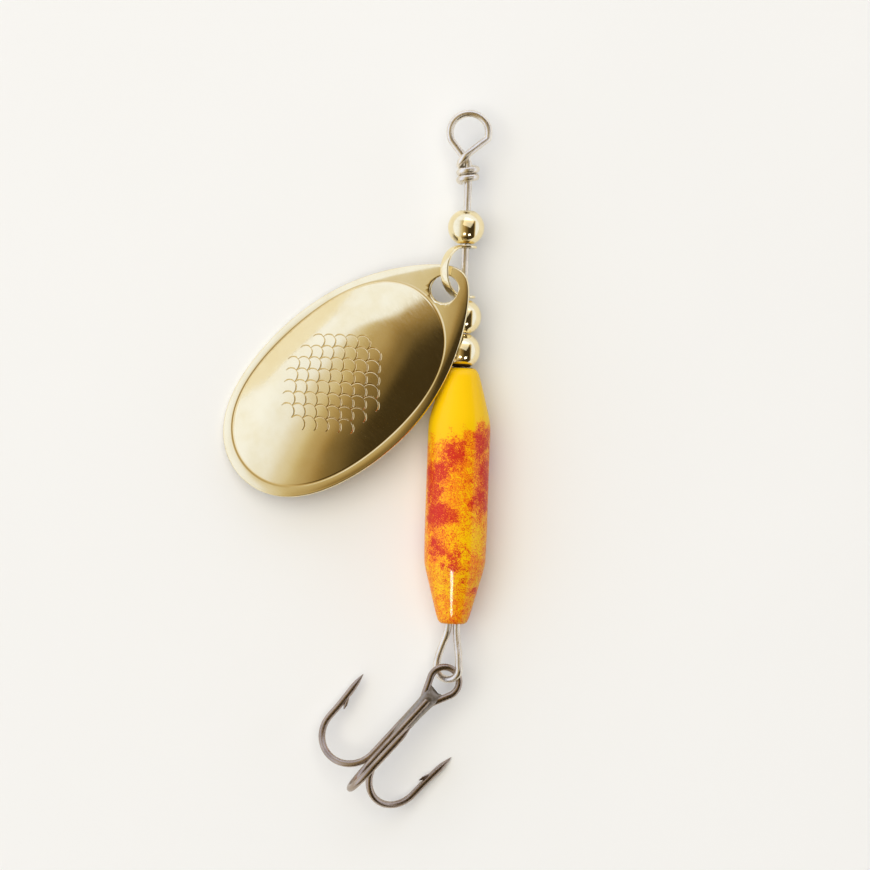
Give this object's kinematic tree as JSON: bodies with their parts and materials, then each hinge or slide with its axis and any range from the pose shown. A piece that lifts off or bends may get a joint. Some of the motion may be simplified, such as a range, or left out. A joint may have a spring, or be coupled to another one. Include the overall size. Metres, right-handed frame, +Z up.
{
  "type": "inline spinner",
  "caption": "Inline spinner fishing lure lying flat: wire shaft with line eye, oval blade swinging on a clevis, round beads, tapered painted body and treble hook.",
  "frame": {"origin": "middle of the spinner's footprint, on the surface that it lies on", "axes": "+Y along the wire shaft towards the line eye, +Z up from the surface, +X to the shaft's right seen from above with the blade on its left"},
  "size_m": [0.0302, 0.0788, 0.0131],
  "materials": {
    "steel_wire": "bright drawn stainless wire",
    "gold_plate": "polished gold-coloured plating",
    "speckled_paint": "glossy clear coat over yellow with orange and red sponge speckle",
    "dark_nickel": "dark bronze-toned nickel plating"
  },
  "bodies": {
    "wire": {"wire_shaft": "steel_wire"},
    "upper_bead": {"upper_bead": "gold_plate"},
    "clevis": {"clevis": "gold_plate"},
    "blade": {"blade": "gold_plate"},
    "middle_bead": {"middle_bead": "gold_plate"},
    "lower_bead": {"lower_bead": "gold_plate"},
    "body": {"body": "speckled_paint"},
    "treble_hook": {"double_hook": "dark_nickel", "single_hook": "dark_nickel"}
  },
  "joints": [
    {"name": "bead_slide", "type": "slide", "parent": "wire", "child": "upper_bead", "axis": [0, 1, 0], "range_m": [0, 0.0028]},
    {"name": "clevis_spin", "type": "hinge", "parent": "upper_bead", "child": "clevis", "pos_m": [0.01161, 0.02121, 0.0035], "axis": [0, 1, 0], "continuous": true},
    {"name": "blade_flap", "type": "hinge", "parent": "clevis", "child": "blade", "pos_m": [0.00976, 0.01941, 0.00555], "axis": [-0.7431, 0, -0.6691], "range_deg": [0, 50]},
    {"name": "middle_bead_spin", "type": "hinge", "parent": "wire", "child": "middle_bead", "pos_m": [0.01161, 0.01616, 0.0035], "axis": [0, 1, 0], "continuous": true},
    {"name": "lower_bead_spin", "type": "hinge", "parent": "wire", "child": "lower_bead", "pos_m": [0.01161, 0.01236, 0.0035], "axis": [0, 1, 0], "continuous": true},
    {"name": "body_spin", "type": "hinge", "parent": "wire", "child": "body", "pos_m": [0.01161, -0.00394, 0.0035], "axis": [0, 1, 0], "continuous": true},
    {"name": "hook_swing", "type": "hinge", "parent": "wire", "child": "treble_hook", "pos_m": [0.01111, -0.02484, 0.0035], "axis": [0, 0, 1], "range_deg": [-85, 45]}
  ]
}
